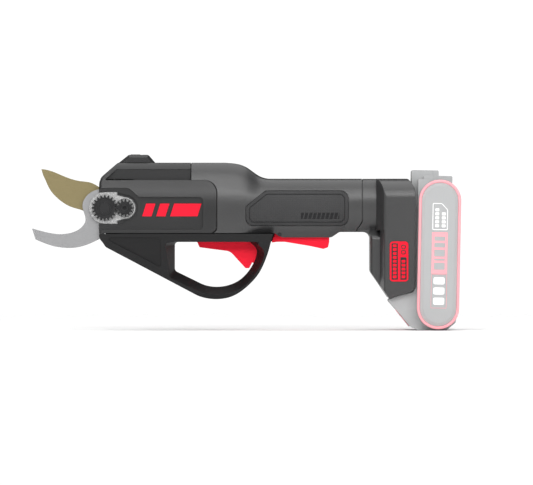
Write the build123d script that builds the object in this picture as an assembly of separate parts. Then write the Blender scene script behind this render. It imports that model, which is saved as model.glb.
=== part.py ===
from build123d import *
import math
import os

# Battery pruner. Millimetres, +Z up, blades towards -X, battery towards +X.
# X = 0 and Y = 0 are the middle of the whole tool, Z = 0 is its lowest level.
# The toothed pivot nut and its lock pinion are on the -Y side, which is the left side of the tool.

os.makedirs("parts", exist_ok=True)

# ---------------------------------------------------------------- driving dimensions
PIVOT_X = -106.0  # blade pivot, its axis runs along Y
DRIVE_Z = 91.5  # height of the pivot, the gear train and the motor
HEAD_FRONT = -110.4
BODY_TOP = 125.6
SEAM_Z = 72.4  # seam between the upper body and the finger guard
GRIP_TOP = 113.6
GRIP_BOTTOM = 69.4
NECK_BOTTOM = 73.5
REAR_SEAM = 87.2  # seam between the grip and the rear housing
SEAM_GAP = 0.3  # half of every visible seam
RUNNING = 0.05  # radial clearance of a running fit
WALL = 2.4
REBATE_WALL = 1.0  # skin left outside the collar at the rear seam
PAD_DEPTH = 1.3

PANEL_Y = 21.0  # flat side panels of the head
HOOD_Y = 15.4  # flat sides of the narrow hood above them

# Blade stack, from the nut inwards
NUT_OUT, NUT_IN = -24.6, -20.7
PLATE_OUT, PLATE_IN = -20.6, -18.05
ANVIL_OUT, ANVIL_IN = -18.0, -14.0
BLADE_OUT, BLADE_IN = -13.9, -10.0
PIVOT_R = 4.0
BUSH_R = 6.5

# Bevel pair that swings the blade
BEVEL_MODULE = 0.9
SECTOR_TEETH = 40
BEVEL_PINION_TEETH = 12
SECTOR_R = BEVEL_MODULE * SECTOR_TEETH / 2
BEVEL_PINION_R = BEVEL_MODULE * BEVEL_PINION_TEETH / 2
BEVEL_SHORT = 0.68  # inner cone distance as a share of the outer

# Planetary stage
PLANET_MODULE = 0.6
SUN_TEETH, PLANET_TEETH, RING_TEETH = 12, 15, 42
PLANET_ORBIT = PLANET_MODULE * (SUN_TEETH + PLANET_TEETH) / 2
PLANET_COUNT = 3
STAGE_X0, STAGE_X1 = -73.0, -65.0

# Pivot nut and lock pinion
NUT_MODULE = 0.9
NUT_TEETH = 20
LOCK_TEETH = 13
LOCK_X = PIVOT_X + NUT_MODULE * (NUT_TEETH + LOCK_TEETH) / 2

# Motor
MOTOR_R = 15.5
MOTOR_X0, MOTOR_X1 = -56.0, -22.0
SHAFT_R = 2.0

# Trigger, safety lever, power button, battery latch
TRIGGER_PIVOT = (-33.5, 69.3)
TRIGGER_Y = 7.0
LEVER_PIVOT = (25.0, 71.8)
LEVER_Y = 8.5
PIN_R = 1.5
FIN_Y, FIN_REAR = 1.2, 21.6  # fin of the guard that reaches into a slot of the safety lever

# Battery pack: its own frame leans back a little from the tool's
BATTERY_X, BATTERY_Z = 127.3, 60.0
BATTERY_LEAN = 1.1
BATTERY_Y = 35.0
CAP_Y = 37.5
RAIL_WIDE, RAIL_NARROW = 25.8, 21.6
CELL_R, CELL_LENGTH, CELL_COUNT = 9.1, 65.0, 5


# ---------------------------------------------------------------- shape helpers
def outline(*corners):
    """Flat face from corners (x, y) or (x, y, radius), in order, with rounded corners as arcs."""
    edges = []
    ends = []
    count = len(corners)
    for i, corner in enumerate(corners):
        here = Vector(corner[0], corner[1])
        before = Vector(*corners[i - 1][:2]) - here
        after = Vector(*corners[(i + 1) % count][:2]) - here
        radius = corner[2] if len(corner) > 2 else 0
        if radius == 0:
            ends.append((here, here))
            continue
        half = math.radians(before.get_angle(after)) / 2
        reach = radius / math.tan(half)
        start = here + before.normalized() * reach
        end = here + after.normalized() * reach
        bisector = (before.normalized() + after.normalized()).normalized()
        middle = here + bisector * (radius / math.sin(half) - radius)
        edges.append(ThreePointArc(start, middle, end))
        ends.append((start, end))
    for i in range(count):
        start, end = ends[i - 1][1], ends[i][0]
        if (end - start).length > 1e-6:
            edges.append(Line(start, end))
    return make_face(edges)


def prism(face, y_low, y_high):
    """Solid from a face drawn in X and Z, between two values of Y."""
    return extrude(Plane.XZ.offset(-y_high) * face, amount=y_high - y_low)


def bar(face, x_low, x_high):
    """Solid from a face drawn in Y and Z, between two values of X."""
    return extrude(Plane.YZ.offset(x_low) * face, amount=x_high - x_low)


def plate(face, z_low, z_high):
    """Solid from a face drawn in X and Y, between two values of Z."""
    return extrude(Plane.XY.offset(z_low) * face, amount=z_high - z_low)


def block(x_low, x_high, y_low, y_high, z_low, z_high):
    centre = Pos((x_low + x_high) / 2, (y_low + y_high) / 2, (z_low + z_high) / 2)
    return centre * Box(x_high - x_low, y_high - y_low, z_high - z_low)


def rod_y(x, z, radius, y_low, y_high):
    return Pos(x, (y_low + y_high) / 2, z) * Rot(90, 0, 0) * Cylinder(radius, y_high - y_low)


def rod_x(y, z, radius, x_low, x_high):
    return Pos((x_low + x_high) / 2, y, z) * Rot(0, 90, 0) * Cylinder(radius, x_high - x_low)


def rod_z(x, y, radius, z_low, z_high):
    return Pos(x, y, (z_low + z_high) / 2) * Cylinder(radius, z_high - z_low)


def sides(solid):
    """The solid and its mirror image across the middle plane."""
    return solid + mirror(solid, about=Plane.XZ)


def gear_face(teeth, module, share=0.42, addendum=1.0, dedendum=1.15):
    """Spur gear outline with straight flanks. One tooth points along +X."""
    pitch_r = teeth * module / 2
    tip_r, root_r = pitch_r + addendum * module, pitch_r - dedendum * module
    half = share * math.pi * module / 2
    points = []
    for i in range(teeth):
        centre = 2 * math.pi * i / teeth
        for radius, width, side in (
            (root_r, half * 1.45, -1),
            (tip_r, half * 0.55, -1),
            (tip_r, half * 0.55, 1),
            (root_r, half * 1.45, 1),
        ):
            angle = centre + side * width / radius
            points.append((radius * math.cos(angle), radius * math.sin(angle)))
    return make_face(Polyline(*points, close=True))


def bevel_teeth(pitch_r, cone_angle, tooth_angles, module, share=0.42):
    """Straight bevel teeth about +Z, with the cone's apex at the origin."""
    distance = pitch_r / math.sin(cone_angle)
    half = share * math.pi * module / 2
    made = []
    for centre in tooth_angles:
        ends = []
        for scale in (1.0, BEVEL_SHORT):
            corners = []
            for height, width, side in (
                (-1.35, 1.5, -1),
                (0.95, 0.5, -1),
                (0.95, 0.5, 1),
                (-1.35, 1.5, 1),
            ):
                radial = distance * math.sin(cone_angle) + height * module * math.cos(cone_angle)
                axial = distance * math.cos(cone_angle) - height * module * math.sin(cone_angle)
                angle = centre + side * width * half / pitch_r
                corners.append(
                    Vector(radial * math.cos(angle), radial * math.sin(angle), axial) * scale
                )
            ends.append(make_face(Polyline(*corners, close=True)))
        made.append(loft(ends, ruled=True))
    return made


def compression_spring(x, y, z_low, z_high, radius, wire_r, turns):
    """Coil spring along Z."""
    length = z_high - z_low - 2 * wire_r
    path = Pos(x, y, z_low + wire_r) * Helix(pitch=length / turns, height=length, radius=radius)
    section = Plane(origin=path @ 0, z_dir=path % 0) * Circle(wire_r)
    return sweep(section, path=path)


def save(name, shape):
    export_step(shape, f"parts/{name}.step")


# ---------------------------------------------------------------- outer form of the body
# Half sections from the top centre line down: (half width, height)
HEAD_SECTION = (
    (11.0, BODY_TOP),
    (15.8, 121.0),
    (19.8, 112.0),
    (22.2, 104.0),
    (23.4, 95.0),
    (23.6, 86.0),
    (23.2, 78.0),
    (22.2, 68.4),
)
GRIP_SECTION = (
    (7.0, GRIP_TOP),
    (12.4, 111.2),
    (16.2, 105.6),
    (18.4, 98.5),
    (19.0, 91.0),
    (18.2, 82.5),
    (15.4, 75.0),
    (10.5, 68.4),
)
NECK_SECTION = (
    (7.0, GRIP_TOP),
    (12.2, 111.4),
    (15.8, 106.2),
    (17.9, 99.5),
    (18.4, 92.5),
    (17.4, 84.5),
    (14.6, 78.0),
    (9.5, 72.6),
)
# Where along X the head turns into the grip, and by how much
SHOULDER = ((-6.0, 0.09), (0.0, 0.28), (4.0, 0.5), (8.0, 0.74), (12.0, 0.91), (17.0, 1.0))


def blended(first, second, share):
    return tuple(
        (a[0] + (b[0] - a[0]) * share, a[1] + (b[1] - a[1]) * share)
        for a, b in zip(first, second)
    )


def section_face(x, half_section, wall=0.0):
    """Closed section at x: flat top and bottom, one curve down each side, drawn in by wall."""
    middle = (half_section[0][1] + half_section[-1][1]) / 2
    height = half_section[0][1] - middle
    width = max(point[0] for point in half_section)
    points = [
        (y * (width - wall) / width, middle + (z - middle) * (height - wall) / height)
        for y, z in half_section
    ]
    mirrored = [(-y, z) for y, z in points]
    edges = [
        Line(mirrored[0], points[0]),
        Spline(*points),
        Line(points[-1], mirrored[-1]),
        Spline(*reversed(mirrored)),
    ]
    return Plane.YZ.offset(x) * make_face(edges)


def body_form(wall=0.0):
    """Head, shoulder and grip as one solid that runs a little past the rear seam."""
    stations = [(-16.0, HEAD_SECTION)]
    stations += [(x, blended(HEAD_SECTION, GRIP_SECTION, share)) for x, share in SHOULDER]
    shoulder_end, grip_end, neck_start = stations[-1][0], 63.0, 74.0
    head = extrude(section_face(-42.5, HEAD_SECTION, wall), amount=26.5)
    shoulder = loft([section_face(x, half, wall) for x, half in stations])
    grip = extrude(section_face(shoulder_end, GRIP_SECTION, wall), amount=grip_end - shoulder_end)
    waist = loft(
        [section_face(grip_end, GRIP_SECTION, wall), section_face(neck_start, NECK_SECTION, wall)]
    )
    neck = extrude(section_face(neck_start, NECK_SECTION, wall), amount=REAR_SEAM + 3 - neck_start)
    return head + shoulder + grip + waist + neck


def head_form():
    return extrude(section_face(HEAD_FRONT, HEAD_SECTION), amount=-20.0 - HEAD_FRONT)


# ---------------------------------------------------------------- head covers
HEAD_REAR = -22.3
HOOD_REAR = -41.8
HOOD_STEP_Z = 112.4
HEAD_SCREWS = ((-97.0, 114.8, 11.5), (-48.0, 115.4, 11.5))
POD_X0, POD_X1 = -95.8, -68.6
POD_Y = 10.0


def head_side(gap):
    """Side outline of the head covers, or with gap of the space they take from the body."""
    return outline(
        (HEAD_FRONT - gap, SEAM_Z + SEAM_GAP - gap),
        (HEAD_FRONT - gap, 113.4 + gap, 9.0),
        (-96.4, BODY_TOP + gap, 2.0),
        (HOOD_REAR + gap, BODY_TOP + gap),
        (HOOD_REAR + gap, HOOD_STEP_Z),
        (HEAD_REAR + gap, HOOD_STEP_Z, 9.5),
        (HEAD_REAR + gap, SEAM_Z + SEAM_GAP - gap, 5.0),
    )


def plate_side(gap):
    """Outline of the gear plate, grown by gap: a round nose, straight edges and a rear lobe."""
    nose_r = 11.75 + gap
    lobe_r = 7.9 + gap
    top, bottom = DRIVE_Z + nose_r, DRIVE_Z - nose_r
    step_x = -96.9 + gap
    nose = make_face(
        [
            ThreePointArc((PIVOT_X, top), (PIVOT_X - nose_r, DRIVE_Z), (PIVOT_X, bottom)),
            Line((PIVOT_X, bottom), (step_x, bottom)),
            Line((step_x, bottom), (step_x, top)),
            Line((step_x, top), (PIVOT_X, top)),
        ]
    )
    lobe = outline(
        (step_x - 1, DRIVE_Z + 9.7 + gap),
        (LOCK_X, DRIVE_Z + lobe_r, 1.5),
        (LOCK_X, DRIVE_Z - lobe_r, 1.5),
        (step_x - 1, DRIVE_Z - 9.7 - gap),
    )
    return nose + lobe + Pos(LOCK_X, DRIVE_Z) * Circle(lobe_r)


def case_screw(x, z, seat):
    """Cross-head screw driven from the right side, its head resting at y = seat."""
    screw = rod_y(x, z, 1.25, seat - 18, seat) + rod_y(x, z, 2.5, seat, seat + 2)
    for size_x, size_z in ((0.7, 3.0), (3.0, 0.7)):
        screw -= Pos(x, seat + 2, z) * Box(size_x, 2.0, size_z)
    return screw


def screw_space(screws):
    """Room for screws: head bores, and shank holes that grip the thread."""
    spaces = []
    for x, z, seat in screws:
        spaces.append(rod_y(x, z, 2.8, seat, 45) + rod_y(x, z, 1.25, seat - 18.2, seat))
    return Compound(spaces)


def screw_bosses(screws, half_width=40):
    return Compound([rod_y(x, z, 3.6, -half_width, half_width) for x, z, _ in screws])


def split(shape):
    """Left and right halves with a fine joint on the middle plane."""
    left = shape & block(-200, 200, -60, -0.02, -20, 160)
    right = shape & block(-200, 200, 0.02, 60, -20, 160)
    return left, right


def head_cavity(inset=0.0):
    """Room inside the head covers, drawn in by inset."""
    half = 18.6 - inset
    high = 13.0 - inset
    return bar(
        outline(
            (high, 123.0 - inset, 1.0),
            (high, 110.6 - inset / 2),
            (half - 0.1, 105.3 - inset / 2),
            (half, 66.0),
            (-half, 66.0),
            (-half + 0.1, 105.3 - inset / 2),
            (-high, 110.6 - inset / 2),
            (-high, 123.0 - inset, 1.0),
        ),
        -110,
        -10,
    )


def head_covers():
    """Shells of the head with flat side panels, a narrow hood and the openings for the blades."""
    form = head_form() & prism(head_side(0), -40, 40)
    slope_edges = form.edges().filter_by(
        lambda e: e.center().X < -97 and abs(e.center().Y) > 6 and e.center().Z > 105
    )
    form = fillet(slope_edges, 2.4)
    hood = outline(
        (-106.4, HOOD_STEP_Z, 0.5),
        (-97.4, 120.6, 1.0),
        (HOOD_REAR + 5, 120.6),
        (HOOD_REAR + 5, HOOD_STEP_Z),
    )
    form -= sides(prism(hood, HOOD_Y, 40))
    panel = outline(
        (HEAD_FRONT - 9, SEAM_Z + 2.5),
        (HEAD_FRONT - 9, 106.4),
        (-88.0, 106.4, 6.0),
        (-80.5, 99.6, 1.0),
        (-32.4, 99.6, 3.2),
        (-32.4, SEAM_Z + 2.5, 4.0),
    )
    form -= sides(prism(panel, PANEL_Y, 40))
    cavity = head_cavity()
    cavity &= prism(
        outline((-107.4, 66), (-107.4, 112.0, 8.0), (-95.6, 123.0, 1.0), (-10, 123.0), (-10, 66)), -40, 40
    )
    form -= cavity - screw_bosses(HEAD_SCREWS)
    # Slot that the blades swing in, the opening of the gear plate and the dark pocket round its lobe
    form -= block(HEAD_FRONT - 9, -85, -18.4, -3.0, 60, 113)
    form -= block(HEAD_FRONT - 1, -107.3, -3.1, 0.02, 60, 87)
    form -= prism(plate_side(0.6), -30, -17)
    pocket = Pos(LOCK_X, DRIVE_Z) * Circle(9.9) + outline(
        (-97.2, DRIVE_Z + 11.9),
        (LOCK_X, DRIVE_Z + 9.9),
        (LOCK_X, DRIVE_Z - 12.6, 3),
        (-97.2, DRIVE_Z - 12.6),
    )
    form -= prism(pocket, -30, -19.6)
    form -= rod_y(PIVOT_X, DRIVE_Z, 10.4, 7.6, 40)
    form -= rod_y(PIVOT_X, DRIVE_Z, 7.2, -4, 8)
    # Opening under the control pod
    form -= block(POD_X0 + 3.4, POD_X1 - 3.4, -POD_Y + 2.4, POD_Y - 2.4, 120, 130)
    form -= screw_space(HEAD_SCREWS)
    form -= emblem(0.05)
    return split(form)


def emblem(gap):
    """Slanted bars let into both flat panels of the head."""
    bars = []
    for x_low, x_high in ((-78.0, -71.0), (-67.5, -60.5), (-57.0, -36.5)):
        shape = outline(
            (x_low - gap, 85.2 - gap),
            (x_high + gap, 85.2 - gap),
            (x_high + 3 + gap, 94.8 + gap),
            (x_low + 3 - gap, 94.8 + gap),
        )
        bars.append(prism(shape, PANEL_Y - 0.4 - gap, PANEL_Y + 0.15))
        bars.append(prism(shape, -PANEL_Y - 0.15, -PANEL_Y + 0.4 + gap))
    return Compound(bars)


# ---------------------------------------------------------------- main housing and grip
BODY_SCREWS = (
    (-30.0, 115.6, 14.0),
    (8.0, 107.4, 14.5),
    (44.0, 107.8, 11.0),
    (81.0, 106.6, 11.5),
    (80.4, 81.4, 12.0),
)


def pad_side(inset):
    """Outline of the grip pads, drawn in by inset."""
    return outline(
        (-0.4 + inset, 78.0 + inset, 5.5 - inset * 0.6),
        (-0.4 + inset, 92.6 - inset * 0.4, 3.0),
        (14.4 + inset * 0.4, 104.6 - inset, 3.0),
        (76.8 - inset, 104.6 - inset, 6.0 - inset * 0.6),
        (76.8 - inset, 78.0 + inset, 6.0 - inset * 0.6),
    )


def main_side():
    return outline(
        (-43.0, 135.0),
        (-43.0, SEAM_Z + SEAM_GAP),
        (21.0, SEAM_Z + SEAM_GAP, 4.0),
        (27.0, GRIP_BOTTOM, 4.0),
        (64.0, GRIP_BOTTOM, 4.0),
        (70.0, NECK_BOTTOM, 4.0),
        (81.6, NECK_BOTTOM, 1.0),
        (REAR_SEAM - SEAM_GAP, 81.4, 3.0),
        (REAR_SEAM - SEAM_GAP, 135.0),
    )


def seam_step(reach):
    """Tongue under the neck that reaches forward through the slanting rear seam."""
    return outline((81.9 - reach, 73.0), (87.2 - reach, 81.0), (95.0, 81.0), (95.0, 73.0))


def main_housings():
    """Shells of the shoulder and the grip, open to the head, the guard and the rear housing."""
    form = body_form() & prism(main_side(), -40, 40)
    form -= prism(head_side(2 * SEAM_GAP), -40, 40)
    room = outline(
        (-50.0, 140.0),
        (-50.0, 60.0),
        (15.5, 60.0),
        (15.5, 75.5),
        (24.0, 75.5),
        (27.0, 71.9),
        (65.4, 71.9),
        (69.6, 76.0),
        (95.0, 76.0),
        (95.0, 140.0),
    )
    cavity = (body_form(WALL) & prism(room, -40, 40)) - screw_bosses(BODY_SCREWS)
    # Lip that closes the joint with the head covers from inside
    rim = (prism(head_side(3.0), -40, 40) - prism(head_side(-3.0), -40, 40)) - head_cavity(1.4)
    rim &= block(-44.0, 0, -40, 40, 75.4, 140)
    inner_rim = rim & head_cavity(0.15)
    cavity -= rim
    # Ribs that the trigger spring and the lever spring push against
    cavity -= block(-14.0, -6.0, -30, 30, 77.2, 79.4)
    cavity -= block(41.5, 50.5, -30, 30, 82.2, 84.4)
    form -= cavity
    form += inner_rim
    form -= sides(prism(pad_side(0), 5, 40)) - body_form(PAD_DEPTH)
    # Stepped joint under the neck and a rebate inside its rear rim
    form -= prism(seam_step(2.6), -6.3, 6.3)
    rebate = extrude(section_face(84.1, NECK_SECTION, REBATE_WALL), amount=6.0)
    form -= rebate & block(80, 95, -30, 30, 81.4, 130)
    form -= block(18.2, 62.9, -LEVER_Y - 0.4, LEVER_Y + 0.4, 60, 76)
    form -= block(13.4, 18.3, -FIN_Y - 0.4, FIN_Y + 0.4, 71, 74.8)
    form -= rod_y(*LEVER_PIVOT, PIN_R, -14, 14)
    form -= screw_space(BODY_SCREWS)
    return split(form)


def grip_pads():
    """Soft pads let into both sides of the grip, with a groove inside their border."""
    skin = body_form(-0.35) - body_form(PAD_DEPTH)
    groove = prism(pad_side(2.5), -40, 40) - prism(pad_side(3.2), -40, 40)
    skin &= prism(pad_side(0.35), -40, 40)
    skin -= groove - body_form(0.25)
    left = skin & block(-50, 100, -40, -5, 0, 130)
    right = skin & block(-50, 100, 5, 40, 0, 130)
    return left, right


# ---------------------------------------------------------------- finger guard
GUARD_SCREWS = ((-104.2, 67.6, 13.0), (-58.9, 60.0, 13.5), (-30.0, 28.9, 8.0), (14.9, 61.5, 11.0))
GUARD_SECTION = ((22.2, 72.1), (20.6, 65.0), (15.4, 45.0), (12.6, 27.0), (9.5, 23.0))


def guard_section(inset):
    corners = [(y - inset, z) for y, z in GUARD_SECTION]
    corners += [(-y, z) for y, z in reversed(corners)]
    return make_face(Polyline(*corners, close=True))


def guard_side():
    top = SEAM_Z - SEAM_GAP
    slope_end = (-38.0, 26.4)
    lower = Spline(
        slope_end,
        (-30.0, 23.7),
        (-21.9, 23.0),
        (-10.7, 25.1),
        (2.8, 34.5),
        (11.8, 46.5),
        (16.3, 57.75),
        (18.4, 65.3),
        tangents=((67, -35.3), (2.2, 8)),
    )
    edges = [
        Line((20.4, top), (-110.2, top)),
        Line((-110.2, top), (-110.2, 70.5)),
        Spline((-110.2, 70.5), (-107.4, 65.2), (-104.4, 61.6), tangents=((0, -1), (67, -35.3))),
        Line((-104.4, 61.6), slope_end),
        lower,
        Line((18.4, 65.3), (20.4, top)),
    ]
    return make_face(edges)


def finger_opening(stretch_x=1.0, stretch_z=1.0):
    """Outline of the finger opening, stretched from the middle of its upper edge."""
    corners = (
        (-34.7, 34.9),
        (-28.0, 32.7),
        (-21.0, 32.2),
        (-12.5, 33.7),
        (-4.7, 37.6),
        (2.4, 45.0),
        (5.6, 50.4),
        (7.7, 56.4),
        (7.0, 61.8),
        (3.4, 65.2),
        (-0.4, 66.0),
        (-51.4, 66.0),
        (-53.17, 65.27),
        (-53.9, 63.5),
        (-53.9, 46.4),
        (-53.5, 44.7),
        (-51.8, 43.3),
    )
    spots = [(-22.5 + (x + 22.5) * stretch_x, 66.0 + (z - 66.0) * stretch_z) for x, z in corners]
    edges = [
        Spline(*spots[:11], tangents=((17, -8.2), (-1, 0))),
        Line(spots[10], spots[11]),
        ThreePointArc(*spots[11:14]),
        Line(spots[13], spots[14]),
        ThreePointArc(*spots[14:17]),
        Line(spots[16], spots[0]),
    ]
    return make_face(edges)


def guard_pocket():
    return outline(
        (-103.0, 69.3, 1.0),
        (-63.9, 69.3, 3.0),
        (-63.9, 46.6, 1.5),
        (-103.0, 67.0, 1.0),
    )


def finger_guards():
    """Shells of the finger guard: sloped sides, a bevelled finger opening and a triangular recess."""
    form = prism(guard_side(), -30, 30) & bar(guard_section(0), -130, 40)
    opening = finger_opening()
    form -= prism(opening, -30, 30)
    flared = finger_opening(1.31, 1.67)
    bevel = loft([Plane.XZ.offset(7.5) * opening, Plane.XZ.offset(26.0) * flared], ruled=True)
    form -= sides(bevel)
    form -= prism(guard_pocket(), -30, 30) - bar(guard_section(1.0), -130, 40)
    room = outline(
        (-106.8, 80), (-106.8, 69.5, 2), (-101, 64.0, 2), (-70, 47.6, 2), (-60.8, 47.6, 2), (-60.8, 80)
    )
    cavity = prism(room, -30, 30) & bar(guard_section(3.2), -130, 40)
    form -= cavity - screw_bosses(GUARD_SCREWS)
    # Lips that close the joint with the upper body from inside
    form += sides(block(-95.0, -10.0, 17.0, 18.4, 69.0, 75.0) + block(-10.5, 14.0, 9.4, 10.6, 69.0, 74.6))
    form += block(-106.8, -94.9, 17.0, 18.4, 69.0, 75.0)
    # Slot that the trigger swings in
    slot = outline((-40.5, 60), (-40.5, 80), (17.0, 80), (17.0, 74), (11.9, 68), (11.9, 44), (-3, 44))
    form -= prism(slot, -TRIGGER_Y - 0.4, TRIGGER_Y + 0.4)
    form += block(14.0, FIN_REAR, -FIN_Y, FIN_Y, 66.5, 74.2)
    form -= rod_y(*TRIGGER_PIVOT, PIN_R, -16, 16)
    form -= block(-115, -96.0, ANVIL_OUT - 0.3, ANVIL_IN + 0.3, 60, 80)
    form -= screw_space(GUARD_SCREWS)
    return split(form)


# ---------------------------------------------------------------- rear housing
REAR_SCREWS = ((99.6, 45.5, 18.0), (107.0, 99.5, 25.0), (93.0, 106.6, 11.5))
REAR_Y = 32.0


def in_battery(shape):
    """Place a shape drawn in the battery's own leaning frame."""
    return Pos(BATTERY_X, 0, BATTERY_Z) * Rot(0, BATTERY_LEAN, 0) * shape


def rear_side():
    front = REAR_SEAM + SEAM_GAP
    return outline(
        (front, 113.5),
        (front, 81.2, 3.0),
        (82.4, NECK_BOTTOM, 1.0),
        (92.8, NECK_BOTTOM, 5.0),
        (92.8, 44.0, 6.0),
        (107.2, 23.4, 1.5),
        (112.0, 25.4, 3.0),
        (125.6, 29.2, 4.0),
        (126.75, 97.0, 2.0),
        (125.9, 107.0, 3.0),
        (121.6, 113.5, 3.0),
    )


def rear_housings():
    """Shells of the rear housing: a neck, a wide block and the channel that the battery slides in."""
    side = prism(rear_side(), -50, 50)
    neck = extrude(section_face(80.0, NECK_SECTION), amount=24.0)
    section = outline((-REAR_Y, 20, 3), (REAR_Y, 20, 3), (REAR_Y, 113.5, 15), (-REAR_Y, 113.5, 15))
    solid_block = bar(section, 92.0, 128.0)
    upper_plan = outline(
        (98.8, -17.0), (128, -17.0), (128, 17.0), (98.8, 17.0)
    ) + outline(
        (97.6, -18.6, 1.5),
        (103.4, -REAR_Y, 4),
        (128, -REAR_Y),
        (128, REAR_Y),
        (103.4, REAR_Y, 4),
        (97.6, 18.6, 1.5),
    )
    lower_plan = outline(
        (92.7, -20.8, 5),
        (100.0, -22.0, 3),
        (103.6, -REAR_Y, 3),
        (128, -REAR_Y),
        (128, REAR_Y),
        (103.6, REAR_Y, 3),
        (100.0, 22.0, 3),
        (92.7, 20.8, 5),
    )
    upper = solid_block & plate(upper_plan, 75.0, 120)
    lower = solid_block & plate(lower_plan, 10, 75.8)
    column = outline(
        (-20.8, 10), (20.8, 10), (20.8, 69.5, 4), (12.5, 76.5, 3), (-12.5, 76.5, 3), (-20.8, 69.5, 4)
    )
    lower &= bar(column, 90.0, 100.5) + block(100.5, 130, -40, 40, 10, 76)
    lower += block(86.0, 95.0, -12.4, 12.4, 66.0, 75.0)
    form = (neck + upper + lower) & side
    tongue = prism(seam_step(2.0), -6.0, 6.0) & block(70, 90, -7, 7, NECK_BOTTOM, 77.3)
    collar = extrude(section_face(84.4, NECK_SECTION, WALL + 0.15), amount=6.7)
    collar &= block(80, 95, -30, 30, 77.8, 130)
    collar += extrude(section_face(84.4, NECK_SECTION, REBATE_WALL + 0.15), amount=4.0) & block(
        80, 95, -30, 30, 81.8, 130
    )
    form += tongue + collar

    room = block(95.6, 111.2, -18.5, 18.5, 42, 70) + block(101.8, 111.2, -18.5, 18.5, 69, 107)
    room += block(105.2, 111.2, -29.2, 29.2, 30, 97) + block(96.0, 112.4, -8.6, 8.6, 98, 111.3)
    throat = extrude(section_face(80.0, NECK_SECTION, WALL + 1.4), amount=20.0)
    throat &= block(80, 100, -30, 30, 77.4, 120)
    form -= (room + throat) - screw_bosses(REAR_SCREWS)
    rails = block(-13.3, -4.5, -RAIL_WIDE - 0.3, RAIL_WIDE + 0.3, -70, 45.9)
    rails += block(-4.6, 6, -RAIL_NARROW - 0.3, RAIL_NARROW + 0.3, -70, 70)
    rails += block(-12.6, -5.4, -20.1, 20.1, 45.8, 51.3)
    rails += block(-15.8, -12.5, -9.0, 9.0, 47.0, 51.3)
    form -= in_battery(rails)
    form -= badge(0.05)
    form -= screw_space(REAR_SCREWS)
    return split(form)


def badge(gap):
    """Rounded plates let into both sides of the rear housing."""
    shape = outline(
        (107.4 - gap, 36.4 - gap, 2.5),
        (121.3 + gap, 36.4 - gap, 2.5),
        (121.3 + gap, 66.4 + gap, 2.5),
        (107.4 - gap, 66.4 + gap, 2.5),
    )
    return sides(prism(shape, REAR_Y - 0.7 - gap, REAR_Y + 0.2))


# ---------------------------------------------------------------- control pod
def control_pod():
    """Small raised housing on top of the head, open below, with its button and status window."""
    shape = outline((POD_X0, 125.65), (-88.3, 131.6, 2.0), (-73.7, 131.6, 2.0), (POD_X1, 125.65))
    pod = prism(shape, -POD_Y, POD_Y)
    pod = chamfer(pod.edges().filter_by(Axis.X).sort_by(Axis.Z)[-2:], 2.0)
    pod -= block(POD_X0 + 6.5, POD_X1 - 5.5, -POD_Y + 3.2, POD_Y - 3.2, 120, 130.0)
    lower = block(POD_X0 + 3.7, POD_X1 - 3.7, -POD_Y + 2.7, POD_Y - 2.7, 123.2, 125.7)
    pod += lower - block(POD_X0 + 5.5, POD_X1 - 5.5, -POD_Y + 3.9, POD_Y - 3.9, 120, 130)
    pod -= block(-87.3, -79.7, -4.3, 4.3, 129, 140)
    pod -= block(-77.8, -74.6, -4.0, 4.0, 129, 140)
    button = block(-87.0, -80.0, -4.0, 4.0, 128.6, 131.95)
    button = fillet(button.edges().filter_by(Axis.Z), 1.2)
    button += block(-87.9, -79.1, -4.9, 4.9, 128.6, 129.7)
    window = block(-77.75, -74.65, -3.95, 3.95, 129.9, 131.7) + block(-78.4, -74.2, -4.6, 4.6, 129.0, 130.0)
    board = block(-88.9, -74.3, -5.8, 5.8, 124.0, 125.4) + block(-84.7, -82.3, -1.2, 1.2, 125.4, 127.4)
    for y in (-2.4, 0, 2.4):
        board += block(-77.2, -75.2, y - 0.7, y + 0.7, 125.4, 128.4)
    return pod, button, window, board


# ---------------------------------------------------------------- blades and their nut
def gear_plate():
    solid = prism(plate_side(0), PLATE_OUT, PLATE_IN)
    lobe = Pos(LOCK_X, DRIVE_Z) * Circle(6.95)
    solid -= prism(lobe, PLATE_OUT - 1, PLATE_OUT + 0.9)
    solid -= rod_y(PIVOT_X, DRIVE_Z, PIVOT_R + RUNNING, -30, 0)
    solid -= rod_y(LOCK_X, DRIVE_Z, 2.5, -30, 0)
    return solid


def ground_edge(edge, shoulder, lid_z, y_edge, y_face):
    """Wedge that grinds a blade from a shoulder line on one face to the cutting edge near the other."""
    faces = []
    for points, y in ((edge, y_edge), (shoulder, y_face)):
        first, last = points[0], points[-1]
        border = [
            Spline(*points),
            Line(last, (last[0], lid_z)),
            Line((last[0], lid_z), (first[0], lid_z)),
            Line((first[0], lid_z), first),
        ]
        faces.append(Plane.XZ.offset(-y) * make_face(border))
    return loft(faces, ruled=True)


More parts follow.
